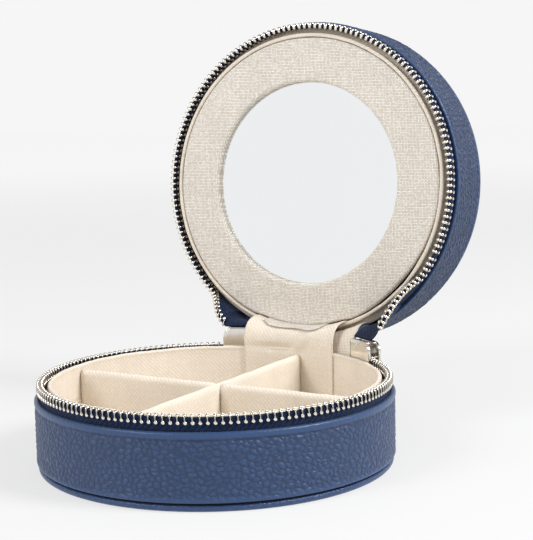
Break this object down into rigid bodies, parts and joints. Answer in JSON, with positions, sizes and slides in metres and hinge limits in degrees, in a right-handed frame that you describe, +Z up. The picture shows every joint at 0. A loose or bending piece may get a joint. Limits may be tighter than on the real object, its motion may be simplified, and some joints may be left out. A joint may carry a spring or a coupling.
{
  "type": "jewellery case",
  "caption": "Round zip-around travel jewellery case in pebbled leather, open, with canvas-lined compartments, crossed dividers and a mirror in the lid.",
  "frame": {"origin": "centre of the base's underside, where the case stands", "axes": "+Z up along the base's axis; +Y towards the hinge at the back; +X to the right, seen from the front"},
  "size_m": [0.11, 0.1441, 0.1361],
  "materials": {
    "leather": "pebble-grained navy leather, satin",
    "canvas": "cream cotton canvas, fine twill weave",
    "linen": "natural linen, coarse plain weave",
    "mirror": "silvered glass",
    "zip_tape": "dark navy woven zip tape",
    "zip_ends": "dark navy zip tape with nickel teeth",
    "zip_teeth": "polished nickel",
    "slider": "polished nickel casting",
    "pull": "polished nickel",
    "board": "grey-brown fibre board, hidden under the covers"
  },
  "bodies": {
    "base": {"base_bottom_leather": "leather", "base_bottom_board": "board", "base_side_board": "board", "base_side_leather": "leather", "base_wall_lining": "canvas", "base_floor_lining": "canvas", "base_zip_tape": "zip_tape", "base_zip_teeth": "zip_teeth", "divider_long": "canvas", "divider_cross": "canvas", "hinge_leather": "leather", "hinge_lining": "canvas", "hinge_strap": "canvas"},
    "lid": {"lid_top_leather": "leather", "lid_top_board": "board", "lid_side_board": "board", "lid_side_leather": "leather", "lid_wall_lining": "canvas", "lid_zip_tape": "zip_tape", "lid_zip_teeth": "zip_teeth", "lid_support_ring": "board", "mirror_surround": "linen", "mirror_glass": "mirror", "mirror_backing": "board", "zip_end_left": "zip_ends", "zip_end_right": "zip_ends"},
    "slider_left": {"slider_left_body": "slider", "slider_left_bail": "slider"},
    "pull_left": {"pull_left_tab": "pull"},
    "slider_right": {"slider_right_body": "slider", "slider_right_bail": "slider"},
    "pull_right": {"pull_right_tab": "pull"}
  },
  "joints": [
    {"name": "lid_hinge", "type": "hinge", "parent": "base", "child": "lid", "pos_m": [0, 0.0546, 0.0272], "axis": [-1, 0, 0], "range_deg": [-93.9, 4], "deforming": ["hinge_leather", "hinge_lining", "hinge_strap", "zip_end_left", "zip_end_right"]},
    {"name": "slider_left_travel", "type": "hinge", "parent": "base", "child": "slider_left", "pos_m": [0, 0, 0.0272], "axis": [0, 0, -1], "range_deg": [-151, 0]},
    {"name": "slider_right_travel", "type": "hinge", "parent": "base", "child": "slider_right", "pos_m": [0, 0, 0.0272], "axis": [0, 0, 1], "range_deg": [-138, 0]},
    {"name": "pull_left_swing", "type": "hinge", "parent": "slider_left", "child": "pull_left", "pos_m": [-0.0212, 0.05248, 0.0272], "axis": [0.9272, 0.3746, 0], "range_deg": [-2, 95]},
    {"name": "pull_right_swing", "type": "hinge", "parent": "slider_right", "child": "pull_right", "pos_m": [0.03246, 0.04636, 0.0272], "axis": [0.8192, -0.5736, 0], "range_deg": [-2, 95]}
  ]
}
